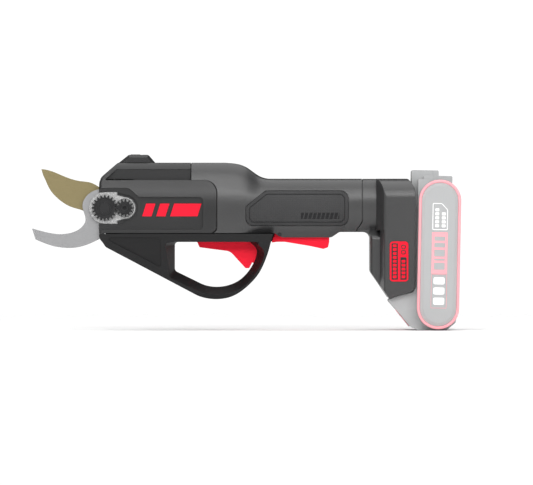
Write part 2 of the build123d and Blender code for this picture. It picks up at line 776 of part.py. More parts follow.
def anvil_blade():
    """Fixed hooked blade, flat and square-edged, with a tail that is screwed to the gear case."""
    edges = [
        Spline(
            (-160.7, 76.1),
            (-150.9, 73.5),
            (-141.9, 72.0),
            (-132.2, 72.75),
            (-124.7, 76.1),
            (-120.9, 81.0),
        ),
        Spline((-120.9, 81.0), (-120.7, 84.0), (-122.4, 90.0), (-122.8, 94.5), (-121.3, 98.25)),
        Spline((-121.3, 98.25), (-118.7, 101.6), (-116.4, 103.3), (-112.0, 105.2), (-106.0, 106.2)),
        Line((-106.0, 106.2), (-106.0, 104.3)),
        Line((-106.0, 104.3), (-80.2, 104.3)),
        Line((-80.2, 104.3), (-80.2, 78.7)),
        Line((-80.2, 78.7), (-98.0, 78.7)),
        Line((-98.0, 78.7), (-106.0, 72.9)),
        Line((-106.0, 72.9), (-107.4, 70.0)),
        Spline(
            (-107.4, 70.0),
            (-110.4, 68.2),
            (-120.9, 63.5),
            (-128.4, 61.7),
            (-134.4, 61.5),
            (-143.4, 62.6),
            (-150.9, 64.9),
            (-158.1, 67.9),
        ),
        Line((-158.1, 67.9), (-160.7, 76.1)),
    ]
    solid = prism(make_face(edges), ANVIL_OUT, ANVIL_IN)
    solid -= rod_y(PIVOT_X, DRIVE_Z, PIVOT_R + RUNNING, -30, 0)
    solid -= rod_y(LOCK_X, DRIVE_Z, 2.5, -30, 0)
    solid -= anvil_screws(False)
    return solid


def anvil_screws(with_sockets=True):
    """Countersunk screws that hold the anvil's tail to the gear case."""
    screws = []
    for z in (DRIVE_Z - 9.5, DRIVE_Z + 9.5):
        screw = rod_y(-83.2, z, 1.5, ANVIL_OUT, -8.0)
        screw += Pos(-83.2, ANVIL_OUT + 0.8, z) * Rot(90, 0, 0) * Cone(1.5, 3.0, 1.6)
        if with_sockets:
            socket = extrude(RegularPolygon(1.1, 6), amount=1.2, both=True)
            screw -= Pos(-83.2, ANVIL_OUT, z) * Rot(90, 0, 0) * socket
        screws.append(screw)
    return Compound(screws)


def cutting_blade():
    """Swinging blade with a convex back, a concave ground edge and a round hub."""
    edges = [
        Spline(
            (-153.9, 120.75),
            (-147.2, 119.5),
            (-138.2, 115.9),
            (-124.7, 111.75),
            (-116.0, 110.3),
            (-112.0, 108.2),
            (-109.0, 106.2),
        ),
        Line((-109.0, 106.2), (PIVOT_X, DRIVE_Z)),
        Line((PIVOT_X, DRIVE_Z), (-119.0, 84.0)),
        Spline(
            (-119.0, 84.0),
            (-122.4, 89.4),
            (-126.9, 90.9),
            (-132.2, 92.6),
            (-142.7, 99.75),
            (-147.2, 105.0),
            (-150.2, 111.0),
            (-152.6, 116.25),
        ),
        Line((-152.6, 116.25), (-153.9, 120.75)),
    ]
    solid = prism(make_face(edges), BLADE_OUT, BLADE_IN)
    solid += rod_y(PIVOT_X, DRIVE_Z, 15.0, BLADE_OUT, BLADE_IN)
    edge = (
        (-157.0, 122.0),
        (-152.6, 116.4),
        (-150.2, 111.0),
        (-147.2, 105.0),
        (-142.7, 99.75),
        (-132.2, 92.6),
        (-121.0, 89.8),
    )
    shoulder = (
        (-157.0, 126.0),
        (-149.8, 119.0),
        (-147.0, 112.6),
        (-144.0, 106.9),
        (-139.8, 102.4),
        (-130.8, 96.2),
        (-121.0, 93.8),
    )
    solid -= ground_edge(edge, shoulder, 70.0, BLADE_OUT + 0.5, BLADE_IN)
    solid -= rod_y(PIVOT_X, DRIVE_Z, BUSH_R + RUNNING, -30, 0)
    solid -= blade_screws(False)
    return solid


def blade_screws(with_sockets=True):
    """Countersunk screws that join the blade to its bevel sector."""
    screws = []
    for angle in (10, 130, 250):
        x = PIVOT_X + 9.6 * math.cos(math.radians(angle))
        z = DRIVE_Z + 9.6 * math.sin(math.radians(angle))
        screw = rod_y(x, z, 1.25, BLADE_OUT, -6.6)
        screw += Pos(x, BLADE_OUT + 0.6, z) * Rot(90, 0, 0) * Cone(1.25, 2.4, 1.2)
        if with_sockets:
            screw -= rod_y(x, z, 0.9, BLADE_OUT - 1, BLADE_OUT + 1.0)
        screws.append(screw)
    return Compound(screws)


def pivot_parts():
    """Bolt, bush and toothed nut of the pivot, and the lock pinion with its screw."""
    bolt = rod_y(PIVOT_X, DRIVE_Z, 9.0, 13.1, 16.6) + rod_y(PIVOT_X, DRIVE_Z, PIVOT_R, -25.3, 13.2)
    socket = extrude(RegularPolygon(3.0, 6), amount=2.2, both=True)
    bolt -= Pos(PIVOT_X, 16.6, DRIVE_Z) * Rot(90, 0, 0) * socket
    bush = rod_y(PIVOT_X, DRIVE_Z, BUSH_R, -13.95, 7.9) - rod_y(PIVOT_X, DRIVE_Z, PIVOT_R, -30, 30)

    face = Plane(origin=(PIVOT_X, NUT_IN, DRIVE_Z), x_dir=(1, 0, 0), z_dir=(0, -1, 0))
    nut = extrude(face * gear_face(NUT_TEETH, NUT_MODULE, 0.40), amount=NUT_IN - NUT_OUT)
    nut -= rod_y(PIVOT_X, DRIVE_Z, 7.2, NUT_OUT - 1, NUT_OUT + 0.5) - rod_y(PIVOT_X, DRIVE_Z, 5.6, -40, 0)
    nut += face * extrude(RegularPolygon(5.4, 6), amount=NUT_IN - NUT_OUT + 0.5)
    nut -= rod_y(PIVOT_X, DRIVE_Z, PIVOT_R + RUNNING, -40, 0)

    face = Plane(origin=(LOCK_X, -19.9, DRIVE_Z), x_dir=(1, 0, 0), z_dir=(0, -1, 0))
    turned = Rot(0, 0, 180 + 180 / LOCK_TEETH)
    pinion = extrude(face * turned * gear_face(LOCK_TEETH, NUT_MODULE, 0.40), amount=4.5)
    pinion += rod_y(LOCK_X, DRIVE_Z, 3.9, -25.2, -20.0)
    pinion -= rod_y(LOCK_X, DRIVE_Z, 3.1, -30, -24.4)
    pinion -= rod_y(LOCK_X, DRIVE_Z, 2.5 + RUNNING, -40, 0)
    screw = rod_y(LOCK_X, DRIVE_Z, 2.5, -24.6, ANVIL_IN - 0.05)
    screw += rod_y(LOCK_X, DRIVE_Z, 2.95, -25.0, -24.45)
    socket = Pos(LOCK_X, -25.0, DRIVE_Z) * Rot(90, 0, 0)
    screw -= socket * extrude(RegularPolygon(1.6, 6), amount=2.0, both=True)
    return bolt, bush, nut, pinion, screw


def blade_gear():
    """Bevel sector on the blade's hub, toothed over the arc that the drive pinion uses."""
    cone = math.atan(SECTOR_TEETH / BEVEL_PINION_TEETH)
    face = Plane(origin=(PIVOT_X, 0, DRIVE_Z), x_dir=(1, 0, 0), z_dir=(0, -1, 0))
    back = -BLADE_IN - 0.02
    profile = Polyline(
        (BUSH_R + RUNNING, back),
        (17.9, back),
        (17.75, 6.42),
        (12.0, 4.35),
        (BUSH_R + RUNNING, 4.35),
        close=True,
    )
    body = revolve(Plane.XZ * make_face(profile), Axis.Z)
    fan = [(0, 0)]
    fan += [(30 * math.cos(math.radians(a)), 30 * math.sin(math.radians(a))) for a in range(-64, 25, 8)]
    keep = extrude(make_face(Polyline(*fan, close=True)), amount=30) + Cylinder(12.2, 40)
    body &= keep
    pitch = 2 * math.pi / SECTOR_TEETH
    angles = [(k + 0.5) * pitch for k in range(-7, 2)]
    for tooth in bevel_teeth(SECTOR_R, cone, angles, BEVEL_MODULE):
        body += tooth
    return face.location * body - blade_screws(False)


# ---------------------------------------------------------------- gear case and drive train
CASE_X0, CASE_X1 = -86.0, -60.3
CASE_R = 16.8
BEARING_R = 9.5


def gear_case():
    """Cast case: a flange for the anvil, a drum for the planetary stage and an arm for the pivot bolt."""
    flange = bar(outline((-13.95, 77, 3), (15, 77, 3), (15, 106, 3), (-13.95, 106, 3)), CASE_X0, -79.5)
    drum = rod_x(0, DRIVE_Z, CASE_R, -80.0, CASE_X1)
    arm = outline((CASE_X0 + 4, 79, 3), (CASE_X0 + 4, 104, 3), (-104, 100.9), (-104, 82.1))
    arm += Pos(PIVOT_X, DRIVE_Z) * Circle(9.6)
    case = flange + drum + prism(arm, 8.0, 13.0)
    case -= rod_x(0, DRIVE_Z, BEARING_R, CASE_X0 - 5, -80.2)
    case -= rod_x(0, DRIVE_Z, 12.4, -80.3, -73.9)
    case -= rod_x(0, DRIVE_Z, 14.8, -74.0, CASE_X1 + 1)
    case -= rod_y(PIVOT_X, DRIVE_Z, PIVOT_R, 0, 30)
    case -= anvil_screws(False)
    return case


def bevel_pinion():
    cone = math.atan(BEVEL_PINION_TEETH / SECTOR_TEETH)
    face = Plane(origin=(PIVOT_X, 0, DRIVE_Z), x_dir=(0, -1, 0), z_dir=(1, 0, 0))
    profile = Polyline((0, 12.6), (2.85, 12.6), (4.45, 18.3), (4.45, 19.6), (0, 19.6), close=True)
    body = revolve(Plane.XZ * make_face(profile), Axis.Z)
    angles = [2 * math.pi * k / BEVEL_PINION_TEETH for k in range(BEVEL_PINION_TEETH)]
    for tooth in bevel_teeth(BEVEL_PINION_R, cone, angles, BEVEL_MODULE):
        body += tooth
    pinion = face.location * body
    return pinion + rod_x(0, DRIVE_Z, 4.0, -87.0, -77.9)


def planetary():
    """Carrier, three planets and the fixed ring of the reduction stage."""
    carrier = rod_x(0, DRIVE_Z, 11.6, -77.8, -74.1)
    planets = []
    for k in range(PLANET_COUNT):
        angle = math.radians(90 + 360 / PLANET_COUNT * k)
        y = PLANET_ORBIT * math.cos(angle)
        z = DRIVE_Z + PLANET_ORBIT * math.sin(angle)
        carrier += rod_x(y, z, 1.5, -74.2, STAGE_X1 + 0.3)
        face = Plane(origin=(STAGE_X0, y, z), x_dir=(0, 1, 0), z_dir=(1, 0, 0))
        turned = Rot(0, 0, math.degrees(angle))
        gear = gear_face(PLANET_TEETH, PLANET_MODULE, 0.39)
        planet = extrude(face * turned * gear, amount=STAGE_X1 - STAGE_X0)
        planets.append(planet - rod_x(y, z, 1.5 + RUNNING, -80, -60))
    face = Plane(origin=(STAGE_X0 - 0.7, 0, DRIVE_Z), x_dir=(0, 1, 0), z_dir=(1, 0, 0))
    spaces = gear_face(RING_TEETH, PLANET_MODULE, 0.58, 1.15, 1.0)
    ring = extrude(face * (Circle(14.78) - Rot(0, 0, 180 / RING_TEETH) * spaces), amount=9.4)
    return carrier, planets, ring


def motor():
    """Stator, windings, rotor, shaft with the sun gear, bearings and the two end plates."""
    front = rod_x(0, DRIVE_Z, CASE_R, -60.25, MOTOR_X0)
    front += rod_x(0, DRIVE_Z, 14.7, -62.6, -60.2)
    front -= rod_x(0, DRIVE_Z, 5.5, -70, -57.5)
    front -= rod_x(0, DRIVE_Z, SHAFT_R + 0.5, -70, -50)
    front -= rod_x(0, DRIVE_Z, 12.0, -58.3, MOTOR_X0 + 1) - rod_x(0, DRIVE_Z, 7.4, -70, -50)
    stack = rod_x(0, DRIVE_Z, MOTOR_R, MOTOR_X0 + 5, MOTOR_X1 - 5)
    stack -= rod_x(0, DRIVE_Z, 8.6, -60, -10)
    windings = []
    for k in range(6):
        angle = math.radians(60 * k + 30)
        y, z = 11.4 * math.cos(angle), DRIVE_Z + 11.4 * math.sin(angle)
        stack -= rod_x(y, z, 2.1, -60, -10)
        windings.append(rod_x(y, z, 2.0, MOTOR_X0 + 2.6, MOTOR_X1 - 2.6))
    can = rod_x(0, DRIVE_Z, CASE_R, MOTOR_X0 + 0.05, MOTOR_X1)
    can -= rod_x(0, DRIVE_Z, MOTOR_R, MOTOR_X0 - 1, MOTOR_X1 - 2.0)
    can -= rod_x(0, DRIVE_Z, 5.5, -30, -10)
    for k in range(8):
        angle = math.radians(45 * k)
        y, z = 10.6 * math.cos(angle), DRIVE_Z + 10.6 * math.sin(angle)
        can -= rod_x(y, z, 2.4, -30, -10)
    rotor = rod_x(0, DRIVE_Z, 8.2, MOTOR_X0 + 5.5, MOTOR_X1 - 5.5) - rod_x(0, DRIVE_Z, SHAFT_R, -70, -10)
    shaft = rod_x(0, DRIVE_Z, SHAFT_R, STAGE_X0, MOTOR_X1 + 4)
    face = Plane(origin=(STAGE_X0, 0, DRIVE_Z), x_dir=(0, 1, 0), z_dir=(1, 0, 0))
    shaft += extrude(face * gear_face(SUN_TEETH, PLANET_MODULE, 0.39), amount=STAGE_X1 - STAGE_X0)
    bearings = []
    for x_low in (-61.6, MOTOR_X1 - 3.2):
        ring = rod_x(0, DRIVE_Z, 5.48, x_low, x_low + 3.2)
        bearings.append(ring - rod_x(0, DRIVE_Z, SHAFT_R + 0.01, -80, 0))
    return front, stack, Compound(windings), can, rotor, shaft, Compound(bearings)


def output_bearing():
    x_low, x_high = CASE_X0 + 0.2, -80.25
    outer = rod_x(0, DRIVE_Z, BEARING_R - 0.02, x_low, x_high) - rod_x(0, DRIVE_Z, 7.4, -90, -70)
    inner = rod_x(0, DRIVE_Z, 5.8, x_low, x_high) - rod_x(0, DRIVE_Z, 4.02, -90, -70)
    cage = rod_x(0, DRIVE_Z, 7.5, x_low + 1.2, x_high - 1.2) - rod_x(0, DRIVE_Z, 5.7, -90, -70)
    return outer + inner + cage


# ---------------------------------------------------------------- trigger, lever and their switches
def trigger():
    shape = outline(
        (-37.0, 66.2, 1.0),
        (-35.2, 62.0, 1.0),
        (-23.4, 60.4, 30.0),
        (-12.2, 59.0, 8.0),
        (-0.6, 46.3, 1.0),
        (2.2, 46.3, 1.0),
        (4.5, 50.7, 0.4),
        (6.2, 49.8, 0.8),
        (8.7, 55.6, 3.0),
        (8.8, 60.5, 3.0),
        (5.4, 65.2, 3.0),
        (-1.0, 66.8),
        (-27.6, 69.3, 2.0),
        (-30.5, 72.6, 3.0),
        (-36.6, 72.6, 3.0),
    )
    body = prism(shape, -TRIGGER_Y, TRIGGER_Y)
    body -= rod_y(*TRIGGER_PIVOT, PIN_R + RUNNING, -20, 20)
    body -= rod_z(-10.0, 0, 3.6, 63.4, 80)
    return body


def safety_lever():
    shape = outline(
        (19.0, 65.5, 0.5),
        (23.1, 66.1),
        (29.1, 66.1, 10.0),
        (47.8, 63.0, 40.0),
        (58.0, 60.8, 1.5),
        (61.5, 61.9, 1.5),
        (62.4, 66.0, 2.0),
        (62.5, 72.4),
        (64.9, 72.4),
        (64.9, 73.8),
        (59.6, 73.8),
        (59.4, 70.4),
        (31.4, 70.8, 1.0),
        (28.4, 74.6, 2.5),
        (22.6, 74.6, 2.5),
        (20.2, 69.0, 1.0),
    )
    body = prism(shape, -LEVER_Y, LEVER_Y)
    body -= rod_y(*LEVER_PIVOT, PIN_R + RUNNING, -20, 20)
    body -= rod_z(46.0, 0, 3.2, 68.4, 80)
    body -= block(17.0, FIN_REAR + 0.7, -FIN_Y - 0.4, FIN_Y + 0.4, 60, 76)
    return body


def pins():
    trigger_pin = rod_y(*TRIGGER_PIVOT, PIN_R, -15.9, 15.9)
    lever_pin = rod_y(*LEVER_PIVOT, PIN_R, -13.9, 13.9)
    return trigger_pin, lever_pin


def springs():
    trigger_spring = compression_spring(-10.0, 0, 63.45, 77.15, 2.9, 0.4, 6)
    lever_spring = compression_spring(46.0, 0, 68.45, 82.15, 2.5, 0.35, 6)
    return trigger_spring, lever_spring


def switches():
    """Small plunger switches above the trigger and above the lever."""
    made = []
    for x, z, width in ((-2.0, 73.6, 12.0), (54.0, 80.3, 11.0)):
        body = block(x, x + width, -3.2, 3.2, z, z + 8)
        body += block(x + 2.5, x + 4.5, -1.2, 1.2, z - 0.7, z + 0.1)
        for step in (1.5, 5.5, 9.0):
            body += block(x + step, x + step + 1.2, -0.4, 0.4, z + 7.9, z + 11)
        made.append(body)
    return made


# ---------------------------------------------------------------- electronics in the grip
BOARD_Z = 99.0


def controller():
    """Circuit board with chips, its heat sink and the row of capacitors."""
    board = block(20.0, 84.0, -13.6, 13.6, BOARD_Z, BOARD_Z + 1.6)
    for x, y in ((30, -6), (30, 6), (40, -6), (40, 6)):
        board += block(x - 2.6, x + 2.6, y - 3, y + 3, BOARD_Z - 1.6, BOARD_Z + 0.1)
    board += block(56, 63, -3.5, 3.5, BOARD_Z - 1.0, BOARD_Z + 0.1)
    board += block(66, 76, -9, 9, BOARD_Z + 1.5, BOARD_Z + 5.0)
    sink = block(24.0, 50.0, -11.0, 11.0, BOARD_Z + 1.62, BOARD_Z + 3.4)
    for k in range(7):
        y = -9.6 + 3.2 * k
        if abs(y) < 9.0:
            sink += block(24.0, 50.0, y - 0.5, y + 0.5, BOARD_Z + 3.3, BOARD_Z + 5.0)
    capacitors = [rod_z(60.0, y, 3.8, BOARD_Z + 1.62, BOARD_Z + 10.0) for y in (-4.2, 4.2)]
    return board, sink, Compound(capacitors)


def wire(points, radius, bend):
    path = FilletPolyline(*points, radius=bend)
    section = Plane(origin=path @ 0, z_dir=path % 0) * Circle(radius)
    return sweep(section, path=path)


def motor_leads():
    """Three leads from the motor's rear end to the controller board."""
    leads = []
    for y in (-6.0, 0.0, 6.0):
        route = ((-21.9, y, 105.4), (-8.0, y, 105.4), (10.0, y, 96.0), (29.0, y, 96.0))
        leads.append(wire(route, 1.0, 12.0))
    return Compound(leads)


def battery_leads():
    """Two leads from the controller board to the terminal block."""
    leads = []
    for y in (-5.0, 5.0):
        route = ((80.0, y, 97.4), (93.0, y, 97.4), (104.0, y, 108.9), (112.4, y, 108.9))
        leads.append(wire(route, 1.2, 9.0))
    return Compound(leads)


def terminal_block():
    """Moulded block with four blades that reach into the battery's slots."""
    body = block(-12.5, -5.5, -20.0, 20.0, 46.0, 51.2) + block(-15.6, -12.4, -8.8, 8.8, 47.2, 51.2)
    blades = Compound([block(-10.4, -7.2, y - 0.4, y + 0.4, 34.0, 50.0) for y in (-15, -5, 5, 15)])
    return in_battery(body - blades), in_battery(blades)


# ---------------------------------------------------------------- battery pack
RING_U, RING_V0, RING_V1 = 16.95, -58.9, 52.9


def stadium(radius):
    """Upright racetrack face of the battery's section."""
    reach = (RING_V1 - RING_V0) / 2 - 15.8
    middle = (RING_V1 + RING_V0) / 2
    face = Pos(RING_U, middle) * Rectangle(2 * radius, 2 * reach)
    for v in (middle - reach, middle + reach):
        face += Pos(RING_U, v) * Circle(radius)
    return face


def battery_cases():
    """Front case with rails and chin, rear case, both open at the sides for the end caps."""
    tube = prism(stadium(15.8), -BATTERY_Y, BATTERY_Y)
    inner = prism(stadium(13.5), -50, 50)
    front_rail = block(-13.0, -4.8, -RAIL_WIDE, RAIL_WIDE, -37.0, 45.5)
    front_rail += block(-5.0, 3.2, -RAIL_NARROW, RAIL_NARROW, -37.0, 40.0)
    chin = prism(
        outline(
            (-20.6, -38.0, 1.5),
            (-12.8, -46.4),
            (-3.4, -57.4, 2.0),
            (2.5, -59.96, 2.0),
            (24.0, -59.55, 2.0),
            (30.8, -53.6, 2.0),
            (30.8, -35.0),
            (0.6, -35.0),
            (0.6, -27.0),
            (-1.6, -31.4, 2.0),
            (-15.6, -35.6),
        ),
        -27.0,
        27.0,
    )
    front_rail += block(-4.1, 3.2, -17.0, 17.0, 39.0, 53.5)
    low_block = prism(outline((-4.1, 53.2, 1), (16.1, 53.2), (16.1, 60, 1), (-4.1, 60, 1)), -17, 17)
    low_block += prism(outline((4.5, 46, 1), (26.2, 46, 1), (26.2, 55.9, 1), (4.5, 55.9, 1)), -24, 24)
    spine = block(0.6, 14.0, -27.0, 27.0, -38.0, 53.2)
    whole = tube + front_rail + chin + low_block + spine - inner
    # Slots for the blades, the lightened inside of the rail, and the shaft of the latch
    for y in (-15, -5, 5, 15):
        whole -= block(-11.4, -6.4, y - 1.1, y + 1.1, 27.5, 60)
    whole -= block(-10.6, 0.5, -19.0, 19.0, -30.0, 28.0)
    whole -= block(0, 4.0, -17.0, 17.0, 22.0, 28.0)
    whole -= prism(
        outline((-14.1, -70.0), (-3.5, -70.0), (-3.5, -48.9), (-14.1, -36.6)), -10.3, 10.3
    ) & prism(outline((-30, -20), (-30, -80), (10, -80), (10, -53.6), (-14.1, -36.9)), -50, 50)
    whole -= rod_z(-8.6, 0, 3.2, -60, -37.4)
    whole -= sides(prism(stadium(13.7), 33.6, 50))
    front = whole & block(-60, 11.8, -60, 60, -80, 80)
    rear = whole & block(11.85, 60, -60, 60, -80, 80)
    return in_battery(front), in_battery(rear)


def battery_ends():
    """End caps inside their coloured rings."""
    cap = prism(stadium(13.6), 33.7, CAP_Y - 1.1)
    crown = extrude(Plane.XZ.offset(-(CAP_Y - 1.1)) * stadium(13.6), amount=-1.1, taper=66)
    cap += crown
    ring = prism(stadium(15.75) - stadium(13.65), 35.05, CAP_Y - 0.35)
    ring = chamfer(ring.edges().group_by(Axis.Y)[-1], 0.6)
    flip = mirror(cap, about=Plane.XZ), mirror(ring, about=Plane.XZ)
    return [in_battery(shape) for shape in (flip[0], cap, flip[1], ring)]


def battery_insides():
    """Cells, the two combs that hold them, their straps and the circuit board."""
    centres = [-41.0 + 19.0 * k for k in range(CELL_COUNT)]
    cells = []
    holder = prism(stadium(13.2), 22.0, 26.0) + prism(stadium(13.2), -26.0, -22.0)
    straps = []
    for v in centres:
        can = rod_y(RING_U, v, CELL_R, -CELL_LENGTH / 2, CELL_LENGTH / 2 - 1.2)
        can += rod_y(RING_U, v, 3.0, CELL_LENGTH / 2 - 1.3, CELL_LENGTH / 2)
        cells.append(can)
        holder -= rod_y(RING_U, v, CELL_R + 0.05, -40, 40)
    holder += block(26.4, 28.0, -22.1, 22.1, -40, 30) - block(20, 40, -15, 15, -30, 20)
    for index in range(CELL_COUNT - 1):
        side = 1 if index % 2 else -1
        low, high = centres[index] - 2.8, centres[index + 1] + 2.8
        y_low, y_high = sorted((side * 32.55, side * 32.85))
        straps.append(block(RING_U - 3.5, RING_U + 3.5, y_low, y_high, low, high))
    board = block(4.6, 6.2, -20.0, 20.0, -34.0, 30.0)
    for v in (-24.0, -8.0, 8.0):
        board += block(3.6, 4.7, -4.0, 4.0, v - 4.0, v + 4.0)
    contacts = []
    for y in (-15, -5, 5, 15):
        contact = block(-10.5, 4.55, y - 0.9, y + 0.9, 25.2, 26.0)
        contact += block(-10.5, -7.0, y - 0.9, y - 0.42, 25.9, 43.0)
        contact += block(-10.5, -7.0, y + 0.42, y + 0.9, 25.9, 43.0)
        contacts.append(contact)
    return [in_battery(Compound(solids)) for solids in (cells, [holder], straps, [board], contacts)]


def battery_latch():
    """Sloping push button in the chin and the spring above it."""
    shape = outline((-13.8, -45.9), (-3.8, -57.7), (-3.8, -51.6), (-13.8, -39.8))
    button = prism(shape, -10.0, 10.0)
    button -= rod_z(-8.6, 0, 3.0, -49.6, -20)
    spring = compression_spring(-8.6, 0, -49.55, -37.45, 2.4, 0.35, 5)
    return in_battery(button), in_battery(spring)


def case_screws():
    """All the identical screws that close the housings from the right side."""
    rows = HEAD_SCREWS + BODY_SCREWS + GUARD_SCREWS + REAR_SCREWS
    return Compound([case_screw(x, z, seat) for x, z, seat in rows])


def group(*shapes):
    """Separate solids that share one node."""
    return Compound([solid for shape in shapes for solid in shape.solids()])


def save_set(names, shapes):
    for name, shape in zip(names, shapes):
        save(name, shape)


def save_shells():
    pairs = {
        "head_cover": head_covers(),
        "main_housing": main_housings(),
        "finger_guard": finger_guards(),
        "rear_housing": rear_housings(),
    }
    for name, shells in pairs.items():
        save_set((name + "_left", name + "_right"), shells)
    save("grip_pads", group(*grip_pads()))
    save("head_emblem", emblem(0))
    save("rear_badge", badge(0))
    save("case_screws", case_screws())


def save_drive():
    pod, button, window, display_board = control_pod()
    board, heat_sink, capacitors = controller()
    save_set(("control_pod", "power_button", "status_window"), (pod, button, window))
    save_set(("heat_sink", "capacitors"), (heat_sink, capacitors))
    save("circuit_boards", group(board, display_board))
    front_plate, stator, windings, can, rotor, shaft, motor_bearings = motor()
    names = ("motor_stator", "motor_windings", "motor_rotor", "motor_shaft")
    save_set(names, (stator, windings, rotor, shaft))
    save("motor_case", group(front_plate, can))
    carrier, planets, ring = planetary()
    save_set(("planet_carrier", "ring_gear"), (carrier, ring))
    save_set(("planet_gear_1", "planet_gear_2", "planet_gear_3"), planets)
    save("gear_case", gear_case())
    save("bevel_pinion", bevel_pinion())
    bolt, bush, nut, pinion, lock_screw = pivot_parts()
    save_set(("pivot_bolt", "pivot_nut", "lock_pinion", "lock_screw"), (bolt, nut, pinion, lock_screw))
    save("bearings", group(motor_bearings, output_bearing(), bush))
    save("wiring", group(motor_leads(), battery_leads()))
    save_set(("terminal_block", "terminal_blades"), terminal_block())


def save_blades_and_controls():
    save("gear_plate", gear_plate())
    save("anvil_blade", anvil_blade())
    save("anvil_screws", anvil_screws())
    save("cutting_blade", cutting_blade())
    save("blade_screws", blade_screws())
    save("blade_gear", blade_gear())
    save("trigger", trigger())
    save("safety_lever", safety_lever())
    save("hinge_pins", group(*pins()))
    save("micro_switches", group(*switches()))
    save_set(("trigger_spring", "lever_spring"), springs())


def save_battery():
    save_set(("battery_case_front", "battery_case_rear"), battery_cases())
    cap_left, cap_right, ring_left, ring_right = battery_ends()
    save_set(("battery_caps", "battery_rings"), (group(cap_left, cap_right), group(ring_left, ring_right)))
    cells, holder, straps, board, contacts = battery_insides()
    save_set(("battery_cells", "cell_holder", "battery_board"), (cells, holder, board))
    save("battery_contacts", group(straps, contacts))
    save_set(("latch_button", "latch_spring"), battery_latch())


save_shells()
save_drive()
save_blades_and_controls()
save_battery()
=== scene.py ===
import math

import bmesh
import bpy
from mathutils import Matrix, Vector


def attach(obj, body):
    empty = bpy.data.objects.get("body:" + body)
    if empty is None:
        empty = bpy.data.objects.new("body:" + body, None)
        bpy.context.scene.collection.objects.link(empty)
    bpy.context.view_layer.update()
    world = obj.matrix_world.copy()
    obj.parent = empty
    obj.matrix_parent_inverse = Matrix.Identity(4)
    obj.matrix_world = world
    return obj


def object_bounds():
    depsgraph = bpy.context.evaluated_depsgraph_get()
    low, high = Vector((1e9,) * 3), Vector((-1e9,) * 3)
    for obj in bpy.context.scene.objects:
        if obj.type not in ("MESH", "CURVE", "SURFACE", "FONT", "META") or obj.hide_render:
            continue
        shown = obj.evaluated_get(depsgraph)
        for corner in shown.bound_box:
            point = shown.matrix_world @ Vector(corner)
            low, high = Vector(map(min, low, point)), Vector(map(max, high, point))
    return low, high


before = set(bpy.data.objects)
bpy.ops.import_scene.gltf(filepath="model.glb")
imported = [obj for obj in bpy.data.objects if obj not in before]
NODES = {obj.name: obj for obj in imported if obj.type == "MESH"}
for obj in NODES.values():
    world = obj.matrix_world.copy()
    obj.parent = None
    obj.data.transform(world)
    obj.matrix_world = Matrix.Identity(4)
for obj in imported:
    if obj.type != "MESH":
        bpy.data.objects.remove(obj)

# Battery pruner: looks. Metres, the CAD's own frame, blades towards -X, left side towards -Y.

CAD_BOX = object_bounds()
MM = 0.001

# Camera square on to the left side, metres and millimetres of lens
CAMERA_ASIDE = 0.0152  # from the middle of the CAD box towards the battery
CAMERA_DISTANCE = 4.0
CAMERA_HEIGHT = 0.0656
CAMERA_LENS = 358.4
SENSOR_WIDTH = 36.0
# Floor, metres
FLOOR_RADIUS = 1.2
FLOOR_DROP = 0.0002  # below the lowest point of the object
FADE_START, FADE_END = 0.35, 1.1
# White below this height of the view direction, dim above the second one
SKY_WHITE, SKY_DIM = 0.05, 0.11
WHITE_STRENGTH, DIM_STRENGTH = 1.05, 0.08

# Battery: lean of its long axis and the middle of its side, X and Z in millimetres
BATTERY_LEAN = math.radians(1.1)
BATTERY_MIDDLE = (127.3, 60.0)
# Distance of a mark's inner and outer face from the middle plane, in millimetres
LABEL_LAYER = (37.46, 37.54)
LABEL_TOP_LAYER = (37.53, 37.57)
BADGE_LAYER = (32.1, 32.26)
BADGE_TOP_LAYER = (32.24, 32.32)
HALF_GAP = 0.02  # between the left and right strips in a seam
ARC_STEPS = 4  # straight pieces in a rounded corner
MESH_PITCH = 0.0014  # grip mesh, metres
# Row of sunk bars on the grips, metres
BARS_MIDDLE = (0.0555, 0.0856)
BARS_HALF_WIDTH = 0.0141
BARS_HALF_HEIGHT = 0.0021
BARS_PITCH = 0.0032
BARS_SLANT = 0.25


# ---------------------------------------------------------------- material helpers
def new_material(name):
    material = bpy.data.materials.new(name)
    material.use_nodes = True
    tree = material.node_tree
    return material, tree, tree.nodes["Principled BSDF"]


def coordinates(tree, scale=(1, 1, 1)):
    """Object coordinates in metres, stretched by scale."""
    source = tree.nodes.new("ShaderNodeTexCoord")
    mapping = tree.nodes.new("ShaderNodeMapping")
    mapping.inputs["Scale"].default_value = scale
    tree.links.new(source.outputs["Object"], mapping.inputs["Vector"])
    return mapping.outputs["Vector"]


def noise(tree, vector, scale, detail=3.0, rough=0.6):
    """Fractal noise between 0 and 1."""
    node = tree.nodes.new("ShaderNodeTexNoise")
    node.inputs["Scale"].default_value = scale
    node.inputs["Detail"].default_value = detail
    node.inputs["Roughness"].default_value = rough
    tree.links.new(vector, node.inputs["Vector"])
    return node.outputs["Fac"]


def ramp(tree, value, low, high, first, second):
    """Value between low and high turned into a number between first and second."""
    node = tree.nodes.new("ShaderNodeMapRange")
    for name, number in (("From Min", low), ("From Max", high), ("To Min", first), ("To Max", second)):
        node.inputs[name].default_value = number
    tree.links.new(value, node.inputs["Value"])
    return node.outputs["Result"]


def tint(tree, value, first, second):
    """Colour that goes from first to second as value goes from 0 to 1."""
    node = tree.nodes.new("ShaderNodeMix")
    node.data_type = "RGBA"
    node.inputs["A"].default_value = (*first, 1)
    node.inputs["B"].default_value = (*second, 1)
    tree.links.new(value, node.inputs["Factor"])
    return node.outputs["Result"]


